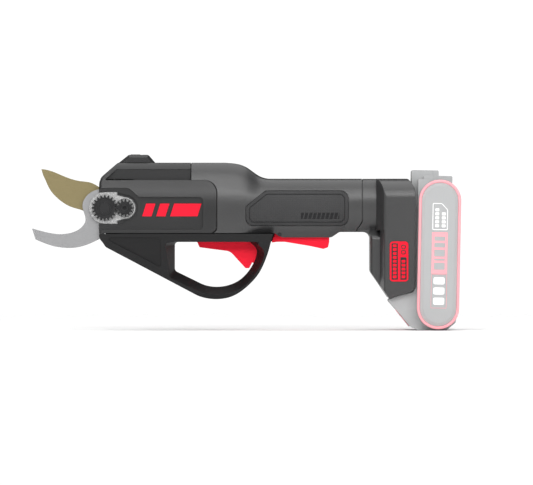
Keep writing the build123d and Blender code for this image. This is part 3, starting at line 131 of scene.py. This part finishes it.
def bump(tree, shader, heights, edge_radius):
    """Rounded edges and stacked bumps: heights is a list of (value, strength, distance in metres)."""
    bevel = tree.nodes.new("ShaderNodeBevel")
    bevel.samples = 4
    bevel.inputs["Radius"].default_value = edge_radius
    normal = bevel.outputs["Normal"]
    for value, strength, distance in heights:
        node = tree.nodes.new("ShaderNodeBump")
        node.inputs["Strength"].default_value = strength
        node.inputs["Distance"].default_value = distance
        tree.links.new(value, node.inputs["Height"])
        tree.links.new(normal, node.inputs["Normal"])
        normal = node.outputs["Normal"]
    tree.links.new(normal, shader.inputs["Normal"])


def edges(tree):
    """1 on outer edges, from the mesh's own pointiness."""
    node = tree.nodes.new("ShaderNodeNewGeometry")
    return ramp(tree, node.outputs["Pointiness"], 0.51, 0.58, 0.0, 1.0)


def plastic(name, base, worn, rough, grain, specular=0.5):
    """Moulded plastic with spark-eroded grain, faint clouding and edges rubbed a little lighter."""
    material, tree, shader = new_material(name)
    vector = coordinates(tree)
    fine = noise(tree, vector, 2600, 2.0)
    cloud = noise(tree, vector, 28, 4.0)
    shade = tint(tree, ramp(tree, cloud, 0.1, 0.9, 0.0, 0.8), base, worn)
    rub = tree.nodes.new("ShaderNodeMix")
    rub.data_type = "RGBA"
    rub.inputs["B"].default_value = (*worn, 1)
    tree.links.new(edges(tree), rub.inputs["Factor"])
    tree.links.new(shade, rub.inputs["A"])
    tree.links.new(rub.outputs["Result"], shader.inputs["Base Color"])
    tree.links.new(ramp(tree, cloud, 0.0, 1.0, rough - 0.05, rough + 0.05), shader.inputs["Roughness"])
    shader.inputs["Specular IOR Level"].default_value = specular
    bump(tree, shader, [(fine, grain, 0.00008)], 0.0005)
    return material


def steel(name, base, dark, rough, stretch, metallic=1.0, grain=0.2, radius=0.0003, scale=220):
    """Ground or machined metal with fine streaks and uneven polish."""
    material, tree, shader = new_material(name)
    streak = noise(tree, coordinates(tree, stretch), scale, 4.0, 0.7)
    cloud = noise(tree, coordinates(tree), 60, 3.0)
    shade = tint(tree, ramp(tree, streak, 0.3, 0.75, 0.0, 1.0), dark, base)
    tree.links.new(shade, shader.inputs["Base Color"])
    tree.links.new(ramp(tree, cloud, 0.0, 1.0, rough - 0.04, rough + 0.06), shader.inputs["Roughness"])
    shader.inputs["Metallic"].default_value = metallic
    bump(tree, shader, [(streak, grain, 0.00005)], radius)
    return material


def paint_nodes(material, *names):
    """Give the named CAD nodes one material."""
    for name in names:
        node = NODES[name]
        node.data.materials.clear()
        node.data.materials.append(material)


# ---------------------------------------------------------------- materials of the CAD nodes
# Plastics: name, colour, rubbed colour, roughness, grain, specular level.
# Metals: name, colour, streak colour, roughness, stretch of the streaks, metallic, grain.
charcoal = plastic("charcoal_plastic", (0.0105, 0.0105, 0.011), (0.014, 0.014, 0.0145), 0.34, 0.3, 0.46)
# Painted light: the housings get a lighter copy of the charcoal plastic, standing in for the brighter
# light falling on them.
housing_plastic = plastic(
    "housing_plastic", (0.018, 0.018, 0.0186), (0.023, 0.023, 0.0236), 0.34, 0.3, 0.76
)
# Painted shade: the finger guards get a darker copy of the charcoal plastic, standing in for the shade
# on their downward faces.
guard_plastic = plastic("guard_plastic", (0.007, 0.007, 0.0074), (0.01, 0.01, 0.0105), 0.42, 0.3, 0.25)
red = plastic("red_plastic", (0.78, 0.003, 0.02), (0.82, 0.008, 0.03), 0.5, 0.12, 0.15)
pale = plastic("pale_plastic", (0.385, 0.39, 0.393), (0.425, 0.43, 0.433), 0.5, 0.25, 0.3)
pink = plastic("pink_plastic", (0.92, 0.37, 0.42), (0.94, 0.4, 0.44), 0.5, 0.15, 0.2)
black_gloss = plastic("black_gloss", (0.02, 0.02, 0.022), (0.035, 0.035, 0.04), 0.33, 0.05)
silver = steel("ground_steel", (0.33, 0.33, 0.335), (0.28, 0.28, 0.285), 0.45, (1, 1, 30), 0.6)
gold = steel("coated_steel", (0.25, 0.208, 0.104), (0.21, 0.172, 0.084), 0.48, (1, 1, 24), 0.6)
dark_steel = steel("dark_steel", (0.026, 0.026, 0.027), (0.018, 0.018, 0.019), 0.45, (1, 1, 1), 0.6, 0.4)
bright_steel = steel("bright_steel", (0.8, 0.8, 0.8), (0.62, 0.62, 0.63), 0.2, (1, 1, 1))
machined = steel("machined_steel", (0.55, 0.55, 0.56), (0.4, 0.4, 0.41), 0.34, (40, 1, 1))
cast = steel("cast_alloy", (0.58, 0.58, 0.59), (0.42, 0.42, 0.43), 0.5, (1, 1, 1), 0.9, 0.8, 0.0006, 700)
brass = steel("brass", (0.78, 0.58, 0.28), (0.62, 0.42, 0.18), 0.3, (1, 1, 1))
copper = steel("copper_wire", (0.62, 0.24, 0.1), (0.45, 0.15, 0.06), 0.35, (90, 1, 1))
board = plastic("solder_mask", (0.01, 0.12, 0.06), (0.03, 0.2, 0.1), 0.35, 0.3)
wrap = plastic("cell_wrap", (0.05, 0.18, 0.42), (0.08, 0.24, 0.5), 0.3, 0.05)


def speckled_steel():
    """Blasted steel: bright with a fine dark speckle."""
    material, tree, shader = new_material("blasted_steel")
    vector = coordinates(tree)
    grain = noise(tree, vector, 2300, 3.0, 0.7)
    cloud = noise(tree, vector, 160, 3.0)
    speckle = ramp(tree, grain, 0.42, 0.6, 0.0, 1.0)
    shade = tint(tree, speckle, (0.26, 0.26, 0.26), (0.56, 0.56, 0.56))
    tree.links.new(shade, shader.inputs["Base Color"])
    tree.links.new(ramp(tree, cloud, 0.3, 0.7, 0.36, 0.5), shader.inputs["Roughness"])
    shader.inputs["Metallic"].default_value = 0.8
    bump(tree, shader, [(grain, 0.5, 0.0001)], 0.0005)
    return material


def math_node(tree, operation, first, second):
    """Math node on two sockets or plain numbers."""
    node = tree.nodes.new("ShaderNodeMath")
    node.operation = operation
    for socket, value in zip(node.inputs, (first, second)):
        if isinstance(value, float):
            socket.default_value = value
        else:
            tree.links.new(value, socket)
    return node.outputs["Value"]


def grip_marks(tree, split):
    """1 inside a short row of sunk bars low on the rear of each grip, 0 elsewhere."""
    x, z = split.outputs["X"], split.outputs["Z"]
    from_x = math_node(tree, "ABSOLUTE", math_node(tree, "SUBTRACT", x, BARS_MIDDLE[0]), 0.0)
    from_z = math_node(tree, "ABSOLUTE", math_node(tree, "SUBTRACT", z, BARS_MIDDLE[1]), 0.0)
    across = ramp(tree, from_x, BARS_HALF_WIDTH, BARS_HALF_WIDTH + 0.0003, 1.0, 0.0)
    along = ramp(tree, from_z, BARS_HALF_HEIGHT, BARS_HALF_HEIGHT + 0.0002, 1.0, 0.0)
    slanted = math_node(tree, "SUBTRACT", x, math_node(tree, "MULTIPLY", z, BARS_SLANT))
    repeat = math_node(tree, "FRACT", math_node(tree, "MULTIPLY", slanted, 1 / BARS_PITCH), 0.0)
    bars = ramp(tree, repeat, 0.68, 0.72, 1.0, 0.0)
    return math_node(tree, "MULTIPLY", math_node(tree, "MULTIPLY", across, along), bars)


def mesh_rubber():
    """Soft grip: a square mesh of fine pits, flattened by a smooth matt skin, with painted shade in the
    pits.
    """
    material, tree, shader = new_material("mesh_rubber")
    vector = coordinates(tree)
    split = tree.nodes.new("ShaderNodeSeparateXYZ")
    tree.links.new(vector, split.inputs["Vector"])
    waves = []
    for axis in ("X", "Z"):
        turns = math_node(tree, "MULTIPLY", split.outputs[axis], 2 * math.pi / MESH_PITCH)
        waves.append(math_node(tree, "SINE", turns, 0.0))
    pits = ramp(tree, math_node(tree, "MAXIMUM", *waves), -0.4, 0.7, 0.0, 1.0)
    marks = grip_marks(tree, split)
    cloud = noise(tree, vector, 35, 4.0)
    fine = noise(tree, vector, 3000, 2.0)
    # Painted shade: the pits are coloured darker than the raised mesh between them.
    shade = tint(tree, pits, (0.016, 0.016, 0.017), (0.026, 0.026, 0.027))
    tree.links.new(shade, shader.inputs["Base Color"])
    tree.links.new(ramp(tree, cloud, 0.0, 1.0, 0.52, 0.74), shader.inputs["Roughness"])
    tree.links.new(ramp(tree, marks, 0.0, 1.0, 0.5, 0.06), shader.inputs["Specular IOR Level"])
    bump(tree, shader, [(pits, 0.5, 0.00012), (fine, 0.2, 0.00004), (marks, 1.0, -0.0005)], 0.0005)
    return material


def window():
    """Dark glossy window with a faint haze."""
    material, tree, shader = new_material("tinted_window")
    haze = noise(tree, coordinates(tree), 240, 3.0)
    shade = tint(tree, haze, (0.02, 0.025, 0.03), (0.06, 0.07, 0.08))
    tree.links.new(shade, shader.inputs["Base Color"])
    tree.links.new(ramp(tree, haze, 0.3, 0.7, 0.08, 0.16), shader.inputs["Roughness"])
    shader.inputs["Coat Weight"].default_value = 0.6
    bump(tree, shader, [(haze, 0.05, 0.00005)], 0.0003)
    return material


def both(name):
    """Names of the left and right node of a pair."""
    return name + "_left", name + "_right"


paint_nodes(charcoal, *both("head_cover"))
paint_nodes(housing_plastic, *both("main_housing"), *both("rear_housing"))
paint_nodes(guard_plastic, *both("finger_guard"))
paint_nodes(charcoal, "control_pod", "power_button")
paint_nodes(mesh_rubber(), "grip_pads")
paint_nodes(red, "trigger", "safety_lever", "head_emblem", "rear_badge")
paint_nodes(pale, "battery_case_front", "battery_case_rear", "battery_caps")
paint_nodes(pink, "battery_rings", "latch_button")
paint_nodes(silver, "anvil_blade")
paint_nodes(speckled_steel(), "gear_plate")
paint_nodes(gold, "cutting_blade")
paint_nodes(dark_steel, "pivot_nut", "pivot_bolt", "lock_pinion", "lock_screw", "hinge_pins")
paint_nodes(dark_steel, "case_screws", "anvil_screws", "blade_screws")
paint_nodes(cast, "gear_case", "motor_case", "heat_sink", "capacitors")
paint_nodes(bright_steel, "bearings", "trigger_spring", "lever_spring", "latch_spring")
paint_nodes(machined, "blade_gear", "bevel_pinion", "planet_carrier", "ring_gear", "motor_stator")
paint_nodes(machined, "planet_gear_1", "planet_gear_2", "planet_gear_3", "motor_rotor", "motor_shaft")
paint_nodes(copper, "motor_windings")
paint_nodes(brass, "terminal_blades", "battery_contacts")
paint_nodes(black_gloss, "micro_switches", "terminal_block", "cell_holder", "wiring")
paint_nodes(board, "circuit_boards", "battery_board")
paint_nodes(window(), "status_window")
paint_nodes(wrap, "battery_cells")


# ---------------------------------------------------------------- printed and moulded marks
def battery_point(u, v):
    """Point of the leaning battery, u across and v along it in millimetres from its middle."""
    cosine, sine = math.cos(BATTERY_LEAN), math.sin(BATTERY_LEAN)
    return BATTERY_MIDDLE[0] + u * cosine + v * sine, BATTERY_MIDDLE[1] - u * sine + v * cosine


def rounded(points, radius):
    """Corners of a polygon in millimetres turned into short arcs."""
    result = []
    count = len(points)
    for index, corner in enumerate(points):
        here = Vector(corner)
        before = (Vector(points[index - 1]) - here).normalized() * radius
        after = (Vector(points[(index + 1) % count]) - here).normalized() * radius
        for step in range(ARC_STEPS + 1):
            t = step / ARC_STEPS
            result.append(here + before * (1 - t) ** 2 + after * t ** 2)
    return result


def add_band(mesh, outer, inner, y_low, y_high):
    """Closed band between two outlines, or a filled slab when there is no inner one."""
    loops = [(outer, y_low), (outer, y_high)]
    if inner is not None:
        loops += [(inner, y_high), (inner, y_low)]
    rings = []
    for points, y in loops:
        rings.append([mesh.verts.new((x * MM, y * MM, z * MM)) for x, z in points])
    count = len(outer)
    if inner is None:
        mesh.faces.new(rings[0])
        mesh.faces.new(list(reversed(rings[1])))
        pairs = [(rings[0], rings[1])]
    else:
        pairs = list(zip(rings, rings[1:] + rings[:1]))
    for first, second in pairs:
        for k in range(count):
            n = (k + 1) % count
            mesh.faces.new((first[k], first[n], second[n], second[k]))


def mark(name, bands, material, body):
    """Thin marks on both sides of the object.

    Each band is (outer outline, inner outline or None, (inner face, outer face) off the middle plane).
    """
    mesh = bmesh.new()
    for outer, inner, layer in bands:
        for side in (-1, 1):
            add_band(mesh, outer, inner, side * layer[0], side * layer[1])
    bmesh.ops.recalc_face_normals(mesh, faces=mesh.faces)
    data = bpy.data.meshes.new(name)
    mesh.to_mesh(data)
    mesh.free()
    data.materials.append(material)
    made = bpy.data.objects.new(name, data)
    bpy.context.scene.collection.objects.link(made)
    soft = made.modifiers.new("soft_edges", "BEVEL")
    soft.width = 0.0001
    soft.segments = 2
    soft.limit_method = "ANGLE"
    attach(made, body)


def rectangle(x_low, x_high, z_low, z_high, radius):
    """Outline of a rectangle with rounded corners."""
    return rounded([(x_low, z_low), (x_high, z_low), (x_high, z_high), (x_low, z_high)], radius)


def on_battery(points):
    """Outline drawn in the battery's own frame, placed on the leaning battery."""
    return [battery_point(*point) for point in points]


def battery_label():
    """Outlined tag, coloured field and gauge bars on both end caps, all without lettering."""
    tag = [(11.4, 15.2), (23.0, 15.2), (23.0, 30.6), (18.4, 35.4), (11.4, 35.4)]
    tag_inner = [(12.1, 15.9), (22.3, 15.9), (22.3, 30.3), (18.1, 34.7), (12.1, 34.7)]
    white = [(on_battery(rounded(tag, 1.0)), on_battery(rounded(tag_inner, 0.5)), LABEL_LAYER)]
    for u, v_high in ((13.5, 33.2), (18.4, 29.6)):
        v = 17.2
        while v + 2.4 < v_high:
            white.append((on_battery(rectangle(u, u + 2.9, v, v + 2.3, 0.5)), None, LABEL_LAYER))
            v += 3.0
    for v in (-40.6, -33.0, -25.4):
        white.append((on_battery(rectangle(13.0, 21.4, v, v + 5.4, 1.4)), None, LABEL_LAYER))
    mark("battery_label_white", white, label_white, "battery")
    field = [(on_battery(rectangle(11.3, 23.1, -17.6, 13.6, 0.4)), None, LABEL_LAYER)]
    frame_outer = rectangle(11.3, 23.1, -43.2, -17.9, 0.4)
    frame_inner = rectangle(11.65, 22.75, -42.85, -18.25, 0.3)
    field.append((on_battery(frame_outer), on_battery(frame_inner), LABEL_LAYER))
    mark("battery_label_field", field, pink, "battery")
    bars = []
    for v, v_high in ((-14.4, -9.2), (-7.6, -6.2), (-4.6, 0.6), (2.2, 5.6), (7.2, 10.4)):
        bars.append((on_battery(rectangle(13.2, 21.2, v, v_high, 0.6)), None, LABEL_TOP_LAYER))
    mark("battery_label_bars", bars, label_grey, "battery")


def rear_badge_lines():
    """Dark columns and rings on the rear badges, with red bars in place of lettering."""
    dark = [
        (rectangle(108.7, 113.5, 37.7, 65.1, 0.7), None, BADGE_LAYER),
        (rectangle(115.3, 120.0, 37.7, 54.6, 0.7), None, BADGE_LAYER),
    ]
    for z in (56.6, 60.6):
        ring = rectangle(115.9, 119.4, z, z + 3.4, 1.5)
        hole = rectangle(116.6, 118.7, z + 0.7, z + 2.7, 0.8)
        dark.append((ring, hole, BADGE_LAYER))
    mark("rear_badge_columns", dark, charcoal, "tool")
    bars = []
    for x, count in ((109.7, 9), (116.25, 5)):
        for index in range(count):
            z = 38.9 + 2.9 * index
            bars.append((rectangle(x, x + 2.8, z, z + 2.1, 0.4), None, BADGE_TOP_LAYER))
    mark("rear_badge_bars", bars, red, "tool")


def seam_strips():
    """Painted shade: dark strips inside the seams behind the hood and behind the grip, below the skin,
    standing in for the shade in the seam gaps.
    """
    bands = [
        (rectangle(-41.72, -41.28, 121.9, 124.9, 0.05), None, (HALF_GAP, 12.0)),
        (rectangle(87.0, 87.4, 110.9, 112.9, 0.05), None, (HALF_GAP, 6.4)),
        (rectangle(84.1, 84.9, 77.2, 77.9, 0.05), None, (HALF_GAP, 5.8)),
    ]
    mark("seam_strips", bands, charcoal, "tool")


label_white = plastic("label_white", (0.93, 0.93, 0.93), (0.95, 0.95, 0.95), 0.4, 0.05)
label_grey = plastic("label_grey", (0.38, 0.385, 0.39), (0.42, 0.425, 0.43), 0.45, 0.05)
battery_label()
rear_badge_lines()
seam_strips()


# ---------------------------------------------------------------- stage, light and camera
def stage_floor():
    """Round pale floor whose rim fades into the white surroundings."""
    mesh = bmesh.new()
    bmesh.ops.create_circle(mesh, cap_ends=True, radius=FLOOR_RADIUS, segments=96)
    bmesh.ops.translate(mesh, verts=mesh.verts, vec=(0, 0, -FLOOR_DROP))
    data = bpy.data.meshes.new("stage_floor")
    mesh.to_mesh(data)
    mesh.free()
    floor = bpy.data.objects.new("stage_floor", data)
    bpy.context.scene.collection.objects.link(floor)
    material, tree, shader = new_material("stage_paper")
    paper = noise(tree, coordinates(tree), 30, 3.0)
    shade = tint(tree, paper, (0.96, 0.96, 0.96), (0.98, 0.98, 0.98))
    tree.links.new(shade, shader.inputs["Base Color"])
    shader.inputs["Roughness"].default_value = 0.9
    shader.inputs["Specular IOR Level"].default_value = 0.2
    distance = tree.nodes.new("ShaderNodeVectorMath")
    distance.operation = "LENGTH"
    tree.links.new(coordinates(tree), distance.inputs[0])
    fade = ramp(tree, distance.outputs["Value"], FADE_START, FADE_END, 1.0, 0.0)
    tree.links.new(fade, shader.inputs["Alpha"])
    data.materials.append(material)


def studio_world():
    """White from below up to the horizon, dim overhead."""
    world = bpy.data.worlds.new("studio")
    world.use_nodes = True
    tree = world.node_tree
    source = tree.nodes.new("ShaderNodeTexCoord")
    split = tree.nodes.new("ShaderNodeSeparateXYZ")
    tree.links.new(source.outputs["Generated"], split.inputs["Vector"])
    background = tree.nodes["Background"]
    background.inputs["Color"].default_value = (1, 1, 1, 1)
    strength = ramp(tree, split.outputs["Z"], SKY_WHITE, SKY_DIM, WHITE_STRENGTH, DIM_STRENGTH)
    tree.links.new(strength, background.inputs["Strength"])
    bpy.context.scene.world = world


def area_light(name, place, target, size, power):
    """Rectangular softbox at place that faces target; size in metres, power in watts."""
    data = bpy.data.lights.new(name, "AREA")
    data.shape = "RECTANGLE"
    data.size, data.size_y = size
    data.energy = power
    light = bpy.data.objects.new(name, data)
    light.location = place
    light.rotation_euler = (Vector(target) - Vector(place)).to_track_quat("-Z", "Y").to_euler()
    bpy.context.scene.collection.objects.link(light)


def camera():
    """Long lens square on to the left side."""
    low, high = CAD_BOX
    middle_x = (low[0] + high[0]) / 2 + CAMERA_ASIDE
    data = bpy.data.cameras.new("camera")
    data.sensor_width = SENSOR_WIDTH
    data.lens = CAMERA_LENS
    data.clip_end = 60.0
    made = bpy.data.objects.new("camera", data)
    made.location = (middle_x, -CAMERA_DISTANCE, CAMERA_HEIGHT)
    made.rotation_euler = (math.pi / 2, 0, 0)
    bpy.context.scene.collection.objects.link(made)
    bpy.context.scene.camera = made


stage_floor()
studio_world()
middle = (0.0, 0.0, 0.07)
area_light("front_softbox", (0.0, -1.25, 0.66), (0.0, 0.0, 0.1), (2.4, 0.3), 13)
area_light("high_softbox", (0.0, -2.4, 2.2), (0.0, -2.2, 0.0), (3.4, 1.0), 37)
area_light("ceiling", (0.0, 0.0, 2.6), (0.0, 0.0, 0.0), (3.4, 3.4), 72)
area_light("back_left", (-1.4, 0.9, 0.9), middle, (1.0, 1.0), 4)
area_light("back_right", (1.4, 0.9, 0.9), middle, (1.0, 1.0), 4)
bpy.context.scene.view_settings.view_transform = "Standard"
camera()
